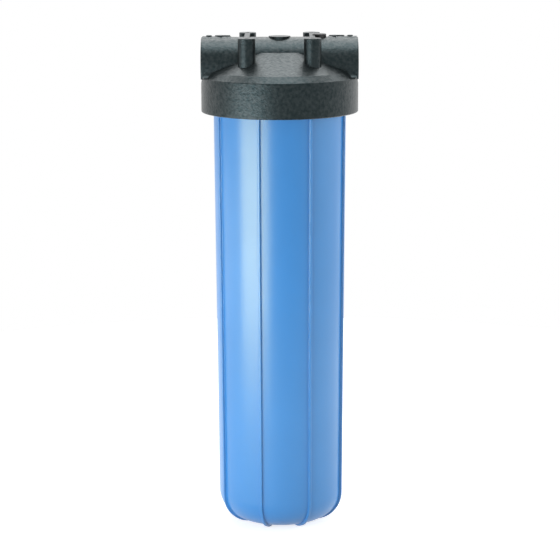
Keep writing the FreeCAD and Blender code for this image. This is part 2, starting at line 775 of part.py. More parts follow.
def make_cartridge_core():
    """The core tube, with rows of windows that let the water through to its middle."""
    body = new_body("cartridge_core")
    profile = new_sketch(body, "core_profile", "XZ_Plane")
    rectangle(profile, core_radius - core_wall, element_bottom, core_radius, element_top)
    turn(body, "Revolution", "core_tube", profile)

    window = new_sketch(body, "core_window", "XZ_Plane")
    half = core_window_width / 2
    low = element_bottom + core_window_margin
    rectangle(window, -half, low, half, low + core_window_height)
    cut = extrude(body, "Pocket", "window_pair", window, 3 * core_radius, both_ways=True)

    rows = body.newObject("PartDesign::MultiTransform", "windows")
    around = doc.addObject("PartDesign::PolarPattern", "windows_around")
    around.Axis = (base_feature(body, "Z_Axis"), [""])
    around.Angle = 180
    around.Mode = "Spacing"
    bind(around, "Offset", core_window_turn)
    around.Occurrences = round(180 / core_window_turn.value)
    along = doc.addObject("PartDesign::LinearPattern", "windows_along")
    along.Direction = (base_feature(body, "Z_Axis"), [""])
    run = element_top - element_bottom - 2 * core_window_margin - core_window_height
    bind(along, "Length", run)
    bind(along, "Occurrences", core_window_rows)
    rows.Originals = [cut]
    rows.Transformations = [around, along]
    body.addObject(around)
    body.addObject(along)
    body.Tip = rows
    return body


def make_cartridge_pleats():
    """The folded medium: one closed band that runs out and back at every pleat."""
    tip = (cartridge_radius - end_cap_lip_width - pleat_clearance).value
    root = (core_radius + pleat_clearance).value
    skin, folds = pleat_thickness.value, int(pleat_count.value)
    tip_gap, root_gap = pleat_gap_tip.value / 2, pleat_gap_root.value / 2

    def star(corners):
        points = []
        for fold in range(folds):
            heading = 2 * math.pi * fold / folds
            for reach, offset in corners:
                angle = heading + math.asin(offset / reach)
                points.append(FreeCAD.Vector(reach * math.cos(angle), reach * math.sin(angle), 0))
        return Part.makePolygon(points + points[:1])

    outside = star([
        (root + skin, -root_gap - skin), (tip, -tip_gap - skin),
        (tip, tip_gap + skin), (root + skin, root_gap + skin),
    ])
    inside = star([
        (root, -root_gap), (tip - skin, -tip_gap), (tip - skin, tip_gap), (root, root_gap),
    ])
    band = Part.Face(outside).cut(Part.Face(inside)).Faces[0]
    pleats = doc.addObject("Part::Feature", "cartridge_pleats")
    pleats.Label = "cartridge_pleats"
    pleats.Shape = band.extrude(UP * (element_top.value - element_bottom.value))
    pleats.Placement = FreeCAD.Placement(UP * element_bottom.value, FreeCAD.Rotation())
    return pleats


# ---------------------------------------------------------------- build, check, write

pieces = [
    make_sump(),
    make_cartridge_core(),
    make_cartridge_pleats(),
    make_end_cap("cartridge_bottom_cap", cartridge_bottom + gasket_thickness, 1),
    make_end_cap("cartridge_top_cap", cartridge_top - gasket_thickness, -1),
    make_gasket("cartridge_bottom_gasket", cartridge_bottom),
    make_gasket("cartridge_top_gasket", cartridge_top - gasket_thickness),
    make_sump_o_ring(),
    make_cap(),
    make_relief_spring(),
    make_relief_button(),
    make_relief_o_ring(),
    make_relief_washer(),
    make_relief_retaining_ring(),
]
doc.recompute()

for thing in doc.Objects:
    if "Invalid" in thing.State or "Error" in thing.State:
        raise RuntimeError(f"{thing.Label} did not build: {thing.State}")
for piece in pieces:
    if piece.Shape.isNull() or not piece.Shape.isValid() or len(piece.Shape.Solids) != 1:
        raise RuntimeError(f"{piece.Label} is not one sound solid")

os.makedirs("parts", exist_ok=True)
for piece in pieces:
    piece.Shape.exportStep(f"parts/{piece.Label}.step")
    box = piece.Shape.BoundBox
    print(f"{piece.Label}: {piece.Shape.Volume / 1000:.1f} cm3, z {box.ZMin:.2f} to {box.ZMax:.2f}")
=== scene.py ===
import bpy
import json
import math
from bpy.props import FloatProperty, FloatVectorProperty, IntProperty, PointerProperty
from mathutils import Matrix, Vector


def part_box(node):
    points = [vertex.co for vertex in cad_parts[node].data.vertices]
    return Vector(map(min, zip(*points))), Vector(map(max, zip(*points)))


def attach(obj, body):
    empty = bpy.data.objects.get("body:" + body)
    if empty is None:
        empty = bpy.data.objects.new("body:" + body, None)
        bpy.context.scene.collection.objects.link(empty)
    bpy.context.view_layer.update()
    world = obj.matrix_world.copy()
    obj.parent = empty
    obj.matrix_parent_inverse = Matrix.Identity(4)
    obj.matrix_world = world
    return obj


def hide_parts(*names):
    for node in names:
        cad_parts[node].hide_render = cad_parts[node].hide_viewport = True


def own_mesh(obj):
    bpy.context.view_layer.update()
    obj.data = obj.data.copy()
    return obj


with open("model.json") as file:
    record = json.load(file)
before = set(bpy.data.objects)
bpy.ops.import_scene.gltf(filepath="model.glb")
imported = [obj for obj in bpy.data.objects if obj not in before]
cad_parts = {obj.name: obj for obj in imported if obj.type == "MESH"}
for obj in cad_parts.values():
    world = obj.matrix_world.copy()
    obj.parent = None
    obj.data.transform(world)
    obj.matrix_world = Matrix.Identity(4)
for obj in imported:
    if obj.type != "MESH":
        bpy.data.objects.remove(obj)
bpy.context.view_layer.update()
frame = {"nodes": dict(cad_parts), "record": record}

bl_info = {
    "name": "Cartridge Filter Housing",
    "version": (1, 0, 0),
    "blender": (4, 5, 0),
    "location": "3D View > Sidebar > Filter Housing",
    "description": "Threads, flow marks, finishes and studio of a cartridge filter housing",
    "category": "Object",
}

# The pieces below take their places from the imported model, in metres.
sump_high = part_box("sump")[1]
mounts = {mount["name"]: mount for mount in frame["record"]["mounts"]}
couplings = {c["joint"]: c for c in frame["record"]["behaviour"]["couplings"]}

port_axis = mounts["inlet_port"]["pos_m"][2]
port_bore = mounts["inlet_port"]["dims"]["r_mm"] / 1000
port_depth = mounts["inlet_port"]["dims"]["length_mm"] / 1000
port_faces = [
    mounts[name]["pos_m"][0] + mounts[name]["axis"][0] * port_depth / 2
    for name in ("outlet_port", "inlet_port")]
screw_pitch = couplings["cap_rise"]["ratio"] * 2 * math.pi
mouth = sump_high.z
neck_root = sump_high.x
thread_room = 0.004
collar_bore = neck_root + thread_room
tube_radius = 0.0323
tube_top = port_axis + tube_radius

# How far pieces sink into the wall that they stand on, and where they start and stop.
thread_sink = 0.0002
pipe_thread_sink = 0.0001
mark_sink = 0.001
thread_start = 0.0055
pad_margin = 0.0012
floor_drop = 0.0003

# Points that are closer than this count as one place.
near = 1e-6


# ---------------------------------------------------------------- settings

class ThreadSettings(bpy.types.PropertyGroup):
    """Sizes of the sump's and the cap's screw thread, and of the pipe threads."""

    height: FloatProperty(
        name="Thread Height", description="Crest above the root",
        default=0.0026, min=0.0005, max=0.0035, unit="LENGTH")
    foot: FloatProperty(
        name="Thread Foot", description="Width of the ridge at its root",
        default=0.0034, min=0.001, max=0.005, unit="LENGTH")
    crest: FloatProperty(
        name="Thread Crest", description="Width of the ridge at its crest",
        default=0.0014, min=0.0005, max=0.004, unit="LENGTH")
    turns: FloatProperty(
        name="Turns", description="Turns of thread on the sump's neck",
        default=2.25, min=1, max=3)
    pipe_pitch: FloatProperty(
        name="Pipe Thread Pitch", description="Pitch of the port threads",
        default=0.0254 / 11.5, min=0.001, max=0.004, unit="LENGTH")
    pipe_height: FloatProperty(
        name="Pipe Thread Height", description="Ridge height inside the ports",
        default=0.0011, min=0.0003, max=0.002, unit="LENGTH")


class MarkSettings(bpy.types.PropertyGroup):
    """Sizes of the raised pads and flow marks on the port tube."""

    pad_inner: FloatProperty(
        name="Pad Inner End", description="Inner end of each pad from the middle",
        default=0.0565, min=0.04, max=0.08, unit="LENGTH")
    pad_width: FloatProperty(
        name="Pad Width", description="Across the tube",
        default=0.018, min=0.008, max=0.03, unit="LENGTH")
    pad_height: FloatProperty(
        name="Pad Height", description="Height of the pads above the tube",
        default=0.0010, min=0.0003, max=0.002, unit="LENGTH")
    inner: FloatProperty(
        name="Arrow Inner End", description="Inner end of each arrow from the middle",
        default=0.0577, min=0.04, max=0.07, unit="LENGTH")
    length: FloatProperty(
        name="Arrow Length", description="From tail to tip",
        default=0.0182, min=0.005, max=0.03, unit="LENGTH")
    width: FloatProperty(
        name="Arrow Width", description="Across the head",
        default=0.011, min=0.004, max=0.02, unit="LENGTH")
    gap: FloatProperty(
        name="Gap", description="Arrow to dot",
        default=0.0032, min=0.001, max=0.01, unit="LENGTH")
    dot: FloatProperty(
        name="Dot", description="Diameter of the round mark beside each arrow",
        default=0.007, min=0.002, max=0.01, unit="LENGTH")
    height: FloatProperty(
        name="Mark Height", description="Height of the arrows and dots above the pads",
        default=0.0011, min=0.0005, max=0.002, unit="LENGTH")


class SpringSettings(bpy.types.PropertyGroup):
    """Wire and winding of the relief valve's spring."""

    wire: FloatProperty(
        name="Wire", description="Diameter of the spring's wire",
        default=0.0009, min=0.0004, max=0.0012, unit="LENGTH")
    turns: IntProperty(
        name="Turns", description="Turns of the spring", default=4, min=2, max=6)


class FinishSettings(bpy.types.PropertyGroup):
    """Colours of the plastics."""

    sump_blue: FloatVectorProperty(
        name="Sump Blue", description="Moulded colour of the sump",
        subtype="COLOR", size=3, min=0, max=1, default=(0.018, 0.215, 0.600))
    cap_black: FloatVectorProperty(
        name="Cap Black", description="Moulded colour of the cap",
        subtype="COLOR", size=3, min=0, max=1, default=(0.002, 0.003, 0.003))
    medium: FloatVectorProperty(
        name="Filter Medium", description="Colour of the pleated medium",
        subtype="COLOR", size=3, min=0, max=1, default=(0.80, 0.78, 0.72))


class StudioSettings(bpy.types.PropertyGroup):
    """Camera, lights and floor."""

    distance: FloatProperty(
        name="Camera Distance", description="In front of the housing's axis",
        default=2.26, min=1, max=6, unit="LENGTH")
    height: FloatProperty(
        name="Camera Height", description="Above the floor",
        default=0.7625, min=0, max=2, unit="LENGTH")
    pitch: FloatProperty(
        name="Camera Pitch", description="Below level",
        default=math.radians(11.67), min=0, max=1.5, unit="ROTATION")
    roll: FloatProperty(
        name="Camera Roll", description="About the line of sight",
        default=math.radians(0.175), min=-0.1, max=0.1, unit="ROTATION")
    lens: FloatProperty(
        name="Lens", description="Focal length on a 36 mm sensor",
        default=123.47, min=20, max=300)
    floor_radius: FloatProperty(
        name="Floor Radius", description="Radius of the round floor",
        default=1.1, min=1, max=30, unit="LENGTH")
    shift: FloatProperty(
        name="Lens Shift", description="Sideways shift, as a share of the sensor's width",
        default=-0.0005, min=-0.5, max=0.5)
    fill: FloatProperty(
        name="Fill", description="Strength of the world's even light",
        default=0.30, min=0, max=2)


def settings():
    """The housing's settings, kept in the scene."""
    return bpy.context.scene.filter_housing


class HousingSettings(bpy.types.PropertyGroup):
    """All settings of the filter housing."""

    thread: PointerProperty(type=ThreadSettings)
    mark: PointerProperty(type=MarkSettings)
    spring: PointerProperty(type=SpringSettings)
    finish: PointerProperty(type=FinishSettings)
    studio: PointerProperty(type=StudioSettings)


# ---------------------------------------------------------------- modelling helpers

def start_clean():
    """Object mode with nothing selected, so that an operator acts on new pieces only."""
    if bpy.context.object and bpy.context.object.mode != "OBJECT":
        bpy.ops.object.mode_set(mode="OBJECT")
    bpy.ops.object.select_all(action="DESELECT")


def pick(piece):
    """Select one piece only, and make it active."""
    start_clean()
    bpy.context.view_layer.objects.active = piece
    piece.select_set(True)


def settle(name):
    """Name the active piece and put its place into its mesh."""
    piece = bpy.context.object
    piece.name = piece.data.name = name
    bpy.ops.object.transform_apply(location=True, rotation=True, scale=True)
    return piece


def edit(piece, kind="VERT"):
    """Edit one piece, with nothing of it selected."""
    pick(piece)
    bpy.ops.object.mode_set(mode="EDIT")
    bpy.ops.mesh.select_mode(type=kind)
    bpy.ops.mesh.select_all(action="DESELECT")


def choose(piece, test, kind="vertices"):
    """In edit mode, select just the vertices, edges or polygons that pass a test."""
    bpy.ops.mesh.select_all(action="DESELECT")
    bpy.ops.object.mode_set(mode="OBJECT")
    for part in getattr(piece.data, kind):
        part.select = test(part)
    bpy.ops.object.mode_set(mode="EDIT")


def finish_mesh(piece, smooth_angle=40):
    """Outward normals, and smooth shading below an angle."""
    edit(piece)
    bpy.ops.mesh.select_all(action="SELECT")
    bpy.ops.mesh.normals_make_consistent(inside=False)
    bpy.ops.object.mode_set(mode="OBJECT")
    bpy.ops.object.shade_smooth_by_angle(angle=math.radians(smooth_angle))


def carry(piece, body, material):
    """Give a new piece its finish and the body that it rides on."""
    piece.data.materials.clear()
    piece.data.materials.append(material)
    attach(piece, body)


def ridge(name, root, height, foot, crest, pitch, turns, low, fade):
    """A helical ridge about the upright axis, of trapezoid section.

    root is its radius, and a negative height makes it stand inwards. It starts at
    height low and fades into the root over the first and last part of a turn."""
    steps_per_turn = 72
    stub = 0.02
    steps = round(steps_per_turn * turns)
    bpy.ops.mesh.primitive_plane_add(
        size=1, location=(root + height / 2, 0, low), rotation=(math.pi / 2, 0, 0))
    bpy.context.object.scale = (abs(height), foot, 1)
    piece = settle(name)
    edit(piece)
    side = 1 if height > 0 else -1
    choose(piece, lambda v: side * (v.co.x - root - height / 2) > 0)
    bpy.ops.transform.resize(
        value=(1, 1, crest / foot), center_override=(root + height, 0, low))
    bpy.ops.mesh.select_all(action="SELECT")
    bpy.ops.mesh.delete(type="ONLY_FACE")
    bpy.ops.object.mode_set(mode="OBJECT")

    screw = piece.modifiers.new("Screw", "SCREW")
    screw.axis = "Z"
    screw.angle = math.tau * turns
    screw.screw_offset = pitch * turns
    screw.steps = screw.render_steps = steps
    screw.use_smooth_shade = True
    bpy.ops.object.modifier_apply(modifier=screw.name)

    edit(piece)
    fade_steps = round(steps_per_turn * fade)
    corners = len(piece.data.vertices) // (steps + 1)
    for step in list(range(fade_steps)) + list(range(steps - fade_steps + 1, steps + 1)):
        share = min(step, steps - step) / fade_steps
        ring = range(step * corners, (step + 1) * corners)
        choose(piece, lambda v: v.index in ring and abs(v.co.xy.length - root) > abs(height) / 2)
        radius = root + height * (stub + (1 - stub) * math.sin(share * math.pi / 2))
        scale = radius / (root + height)
        bpy.ops.transform.resize(value=(scale, scale, 1), center_override=(0, 0, 0))
    bpy.ops.mesh.select_all(action="SELECT")
    bpy.ops.mesh.fill_holes(sides=corners)
    finish_mesh(piece)
    return piece


# ---------------------------------------------------------------- shader helpers

def new_material(name):
    """A material with its nodes, its links and its Principled shader."""
    material = bpy.data.materials.new(name)
    material.use_nodes = True
    nodes = material.node_tree.nodes
    return material, nodes, material.node_tree.links, nodes["Principled BSDF"]


def new_group(name, inputs, outputs):
    """A shader node group with (name, type, default) inputs and (name, type) outputs."""
    group = bpy.data.node_groups.new(name, "ShaderNodeTree")
    for label, kind, default in inputs:
        socket = group.interface.new_socket(label, in_out="INPUT", socket_type=kind)
        if default is not None:
            socket.default_value = default
    for label, kind in outputs:
        group.interface.new_socket(label, in_out="OUTPUT", socket_type=kind)
    entry = group.nodes.new("NodeGroupInput")
    leave = group.nodes.new("NodeGroupOutput")
    return group, entry.outputs, leave.inputs


def noise(tree, vector, scale, detail=3.0, roughness=0.5):
    """A noise texture, whose scale is a number or a socket."""
    node = tree.nodes.new("ShaderNodeTexNoise")
    node.inputs["Detail"].default_value = detail
    node.inputs["Roughness"].default_value = roughness
    if isinstance(scale, (int, float)):
        node.inputs["Scale"].default_value = scale
    else:
        tree.links.new(scale, node.inputs["Scale"])
    tree.links.new(vector, node.inputs["Vector"])
    return node.outputs["Fac"]


def map_range(tree, value, low, high, to_low, to_high):
    """A value brought from one range to another, whose ends are numbers or sockets."""
    node = tree.nodes.new("ShaderNodeMapRange")
    for label, number in (
        ("From Min", low), ("From Max", high), ("To Min", to_low), ("To Max", to_high),
    ):
        if isinstance(number, (int, float)):
            node.inputs[label].default_value = number
        else:
            tree.links.new(number, node.inputs[label])
    tree.links.new(value, node.inputs["Value"])
    return node.outputs["Result"]


def blend_colours(tree, factor, first, second):
    """A mix of two colours, each given as numbers or a socket."""
    node = tree.nodes.new("ShaderNodeMix")
    node.data_type = "RGBA"
    sockets = {"Factor": factor, "A": first, "B": second}
    for index, label in ((0, "Factor"), (6, "A"), (7, "B")):
        given = sockets[label]
        if isinstance(given, bpy.types.NodeSocket):
            tree.links.new(given, node.inputs[index])
        elif isinstance(given, (int, float)):
            node.inputs[index].default_value = given
        else:
            node.inputs[index].default_value = (*given[:3], 1)
    return node.outputs[2]


def moulded_skin_group():
    """Cloudy colour, uneven gloss and fine grain of a moulded plastic skin."""
    if "Moulded Skin" in bpy.data.node_groups:
        return bpy.data.node_groups["Moulded Skin"]
    group, given, result = new_group(
        "Moulded Skin",
        [
            ("Vector", "NodeSocketVector", None),
            ("Color", "NodeSocketColor", (0.5, 0.5, 0.5, 1)),
            ("Cloud Color", "NodeSocketColor", (0.4, 0.4, 0.4, 1)),
            ("Cloud Scale", "NodeSocketFloat", 20.0),
            ("Grain Scale", "NodeSocketFloat", 900.0),
            ("Grain Height", "NodeSocketFloat", 0.2),
            ("Gloss Low", "NodeSocketFloat", 0.3),
            ("Gloss High", "NodeSocketFloat", 0.4),
            ("Mottle", "NodeSocketFloat", 0.0),
        ],
        [
            ("Color", "NodeSocketColor"),
            ("Roughness", "NodeSocketFloat"),
            ("Coat Weight", "NodeSocketFloat"),
            ("Height", "NodeSocketFloat"),
        ],
    )
    clouds = noise(group, given["Vector"], given["Cloud Scale"], detail=4.0)
    cloud_mask = map_range(group, clouds, 0.35, 0.65, 0.0, 1.0)
    colour = blend_colours(group, cloud_mask, given["Color"], given["Cloud Color"])
    grain = noise(group, given["Vector"], given["Grain Scale"], detail=2.0, roughness=0.6)
    height = map_range(group, grain, 0.0, 1.0, 0.0, given["Grain Height"])
    gloss = map_range(group, clouds, 0.3, 0.7, given["Gloss Low"], given["Gloss High"])
    coat = map_range(group, clouds, 0.35, 0.65, 0.0, given["Mottle"])
    group.links.new(colour, result["Color"])
    group.links.new(gloss, result["Roughness"])
    group.links.new(coat, result["Coat Weight"])
    group.links.new(height, result["Height"])
    return group


def edge_wear_group():
    """Mask of the convex edges, broken up by noise, where handling polishes a moulding."""
    if "Edge Wear" in bpy.data.node_groups:
        return bpy.data.node_groups["Edge Wear"]
    group, given, result = new_group(
        "Edge Wear",
        [
            ("Vector", "NodeSocketVector", None),
            ("Color", "NodeSocketColor", (0.5, 0.5, 0.5, 1)),
            ("Worn Color", "NodeSocketColor", (0.6, 0.6, 0.6, 1)),
            ("Amount", "NodeSocketFloat", 0.5),
            ("Break Up Scale", "NodeSocketFloat", 120.0),
        ],
        [("Color", "NodeSocketColor"), ("Mask", "NodeSocketFloat")],
    )
    shape = group.nodes.new("ShaderNodeNewGeometry")
    edges = map_range(group, shape.outputs["Pointiness"], 0.52, 0.62, 0.0, 1.0)
    broken = map_range(
        group, noise(group, given["Vector"], given["Break Up Scale"]), 0.35, 0.6, 0.2, 1.0)
    mask = group.nodes.new("ShaderNodeMath")
    mask.operation = "MULTIPLY"
    group.links.new(edges, mask.inputs[0])
    group.links.new(broken, mask.inputs[1])
    amount = group.nodes.new("ShaderNodeMath")
    amount.operation = "MULTIPLY"
    group.links.new(mask.outputs[0], amount.inputs[0])
    group.links.new(given["Amount"], amount.inputs[1])
    colour = blend_colours(group, amount.outputs[0], given["Color"], given["Worn Color"])
    group.links.new(colour, result["Color"])
    group.links.new(amount.outputs[0], result["Mask"])
    return group


def shade(colour, gain, lift=0.0):
    """A lighter or darker shade of a colour."""
    return tuple(min(1, part * gain + lift) for part in colour)


def moulded_plastic(
    name, colour, cloud_colour, worn_colour, gloss,
    cloud_scale=18.0, grain_scale=900.0, grain=0.2, bump=0.1, wear=0.4, specular=0.5,
    sheen_tint=(1, 1, 1), mottle=0.0, softening=0.0,
):
    """A moulded plastic: cloudy skin, fine grain and lightly worn edges.

    softening is the radius to which its sharp edges look rounded."""
    material, nodes, links, shader = new_material(name)
    tree = material.node_tree
    place = nodes.new("ShaderNodeTexCoord").outputs["Object"]

    skin = nodes.new("ShaderNodeGroup")
    skin.node_tree = moulded_skin_group()
    links.new(place, skin.inputs["Vector"])
    skin.inputs["Color"].default_value = (*colour[:3], 1)
    skin.inputs["Cloud Color"].default_value = (*cloud_colour[:3], 1)
    skin.inputs["Cloud Scale"].default_value = cloud_scale
    skin.inputs["Grain Scale"].default_value = grain_scale
    skin.inputs["Grain Height"].default_value = grain
    skin.inputs["Gloss Low"].default_value = gloss[0]
    skin.inputs["Gloss High"].default_value = gloss[1]
    skin.inputs["Mottle"].default_value = mottle

    worn = nodes.new("ShaderNodeGroup")
    worn.node_tree = edge_wear_group()
    links.new(place, worn.inputs["Vector"])
    links.new(skin.outputs["Color"], worn.inputs["Color"])
    worn.inputs["Worn Color"].default_value = (*worn_colour[:3], 1)
    worn.inputs["Amount"].default_value = wear

    relief = nodes.new("ShaderNodeBump")
    relief.inputs["Strength"].default_value = bump
    relief.inputs["Distance"].default_value = 0.001
    links.new(skin.outputs["Height"], relief.inputs["Height"])
    if softening:
        rounded = nodes.new("ShaderNodeBevel")
        rounded.samples = 8
        rounded.inputs["Radius"].default_value = softening
        links.new(rounded.outputs["Normal"], relief.inputs["Normal"])
    links.new(relief.outputs["Normal"], shader.inputs["Normal"])
    links.new(worn.outputs["Color"], shader.inputs["Base Color"])
    links.new(skin.outputs["Roughness"], shader.inputs["Roughness"])
    links.new(skin.outputs["Coat Weight"], shader.inputs["Coat Weight"])
    shader.inputs["Coat Roughness"].default_value = gloss[1]
    shader.inputs["Specular IOR Level"].default_value = specular
    shader.inputs["Specular Tint"].default_value = (*sheen_tint, 1)
    return material


# ---------------------------------------------------------------- finishes

def once(maker):
    """Make each material once, and hand out the same one afterwards."""
    made = {}

    def get():
        if "material" not in made:
            made["material"] = maker()
        return made["material"]

    return get


@once
def sump_plastic():
    blue = settings().finish.sump_blue
    return moulded_plastic(
        "Sump Blue Plastic", blue, shade(blue, 0.93), shade(blue, 1.25, 0.03), gloss=(0.29, 0.34),
        cloud_scale=9.0, grain_scale=1400.0, grain=0.10, bump=0.06, wear=0.35, specular=0.85,
        sheen_tint=(1.0, 1.0, 0.45), softening=0.0018)


@once
def cap_plastic():
    black = settings().finish.cap_black
    return moulded_plastic(
        "Cap Black Plastic", black, shade(black, 1.5), shade(black, 2.6, 0.01), gloss=(0.29, 0.38),
        cloud_scale=260.0, grain_scale=420.0, grain=0.9, bump=0.45, wear=0.35, specular=0.34,
        sheen_tint=(0.62, 0.92, 1.0), mottle=0.38)


@once
def button_plastic():
    return moulded_plastic(
        "Button Black Plastic", (0.010, 0.010, 0.011), (0.013, 0.013, 0.014),
        (0.05, 0.05, 0.052), gloss=(0.28, 0.36), cloud_scale=90.0,
        grain_scale=1500.0, grain=0.1, bump=0.05)


@once
def seal_rubber():
    return moulded_plastic(
        "Seal Rubber", (0.012, 0.012, 0.012), (0.018, 0.018, 0.018),
        (0.04, 0.04, 0.04), gloss=(0.30, 0.55), cloud_scale=120.0,
        grain_scale=1200.0, grain=0.2, bump=0.08, wear=0.1)


@once
def gasket_rubber():
    return moulded_plastic(
        "Gasket Rubber", (0.020, 0.020, 0.022), (0.030, 0.030, 0.031),
        (0.05, 0.05, 0.05), gloss=(0.6, 0.75), cloud_scale=80.0,
        grain_scale=1600.0, grain=0.6, bump=0.25, wear=0.1)


@once
def washer_plastic():
    return moulded_plastic(
        "Washer Acetal", (0.62, 0.62, 0.60), (0.57, 0.57, 0.55),
        (0.72, 0.72, 0.70), gloss=(0.35, 0.45), cloud_scale=150.0,
        grain_scale=1500.0, grain=0.1, bump=0.05)


@once
def end_cap_plastic():
    return moulded_plastic(
        "End Cap Vinyl", (0.76, 0.77, 0.76), (0.70, 0.71, 0.70),
        (0.85, 0.85, 0.84), gloss=(0.42, 0.55), cloud_scale=40.0,
        grain_scale=900.0, grain=0.3, bump=0.12, wear=0.15)


@once
def core_plastic():
    return moulded_plastic(
        "Core Plastic", (0.78, 0.78, 0.76), (0.73, 0.73, 0.71),
        (0.85, 0.85, 0.84), gloss=(0.38, 0.48), cloud_scale=40.0,
        grain_scale=1000.0, grain=0.2, bump=0.08, wear=0.15)


@once
def spring_steel():
    """Drawn stainless wire: fine streaks in its gloss."""
    material, nodes, links, shader = new_material("Spring Steel")
    tree = material.node_tree
    place = nodes.new("ShaderNodeTexCoord").outputs["Object"]
    streaks = noise(tree, place, 2500.0, detail=2.0)
    gloss = map_range(tree, streaks, 0.3, 0.7, 0.22, 0.42)
    tint = blend_colours(tree, streaks, (0.50, 0.50, 0.49), (0.60, 0.60, 0.58))
    links.new(gloss, shader.inputs["Roughness"])
    links.new(tint, shader.inputs["Base Color"])
    shader.inputs["Metallic"].default_value = 1.0
    return material


@once
def filter_medium():
    """Matted fibres: pale threads over a cream ground."""
    cream = settings().finish.medium
    material, nodes, links, shader = new_material("Filter Medium")
    tree = material.node_tree
    place = nodes.new("ShaderNodeTexCoord").outputs["Object"]
    fibres = nodes.new("ShaderNodeTexWave")
    fibres.inputs["Scale"].default_value = 350.0
    fibres.inputs["Distortion"].default_value = 18.0
    fibres.inputs["Detail"].default_value = 3.0
    links.new(place, fibres.inputs["Vector"])
    matted = noise(tree, place, 1500.0, detail=4.0)
    mask = nodes.new("ShaderNodeMath")
    mask.operation = "MULTIPLY"
    links.new(fibres.outputs["Fac"], mask.inputs[0])
    links.new(matted, mask.inputs[1])
    colour = blend_colours(tree, mask.outputs[0], shade(cream, 0.9), tuple(cream))
    relief = nodes.new("ShaderNodeBump")
    relief.inputs["Strength"].default_value = 0.35
    relief.inputs["Distance"].default_value = 0.0005
    links.new(mask.outputs[0], relief.inputs["Height"])
    links.new(relief.outputs["Normal"], shader.inputs["Normal"])
    links.new(colour, shader.inputs["Base Color"])
    shader.inputs["Roughness"].default_value = 0.9
    return material


def dress(materials):
    """Give CAD nodes their finish."""
    for node, material in materials.items():
        if node not in frame["nodes"]:
            raise RuntimeError(f"the packed model has no node {node}")
        piece = frame["nodes"][node]
        piece.data.materials.clear()
        piece.data.materials.append(material)


# ---------------------------------------------------------------- pieces

class FILTER_OT_sump(bpy.types.Operator):
    """Finish the blue sump, and wind the screw thread round its neck"""

    bl_idname = "filter_housing.sump"
    bl_label = "Sump and Its Thread"

    def execute(self, context):
        dress({"sump": sump_plastic()})
        thread = settings().thread
        low = mouth - thread_start - screw_pitch * thread.turns
        piece = ridge(
            "sump_thread", neck_root - thread_sink, thread.height + thread_sink, thread.foot,
            thread.crest, screw_pitch, thread.turns, low, fade=0.12)
        carry(piece, "sump", sump_plastic())
        return {"FINISHED"}


class FILTER_OT_cap(bpy.types.Operator):
    """Finish the black cap, and wind the screw thread inside its collar"""

    bl_idname = "filter_housing.cap"
    bl_label = "Cap and Its Thread"

    def execute(self, context):
        dress({"cap": cap_plastic()})
        thread = settings().thread
        turns = thread.turns + 0.5
        low = mouth - thread_start - screw_pitch * turns
        piece = ridge(
            "cap_thread", collar_bore + thread_sink, -thread.height - thread_sink, thread.foot,
            thread.crest, screw_pitch, turns, low, fade=0.12)
        carry(piece, "cap", cap_plastic())
        return {"FINISHED"}


class FILTER_OT_port_threads(bpy.types.Operator):
    """Wind the pipe thread inside both ports"""

    bl_idname = "filter_housing.port_threads"
    bl_label = "Port Threads"

    def execute(self, context):
        thread = settings().thread
        pitch = margin = thread.pipe_pitch
        foot, crest = pitch * 0.85, pitch * 0.2
        turns = (port_depth - 2 * margin) / pitch
        for name, face, side in (
            ("inlet_thread", port_faces[1], 1), ("outlet_thread", port_faces[0], -1),
        ):
            piece = ridge(
                name, port_bore + pipe_thread_sink, -thread.pipe_height - pipe_thread_sink,
                foot, crest, pitch, turns, margin, fade=0.5)
            pick(piece)
            piece.rotation_euler = (0, side * math.pi / 2, 0)
            piece.location = (face - side * port_depth, 0, port_axis)
            settle(name)
            carry(piece, "cap", cap_plastic())
        return {"FINISHED"}


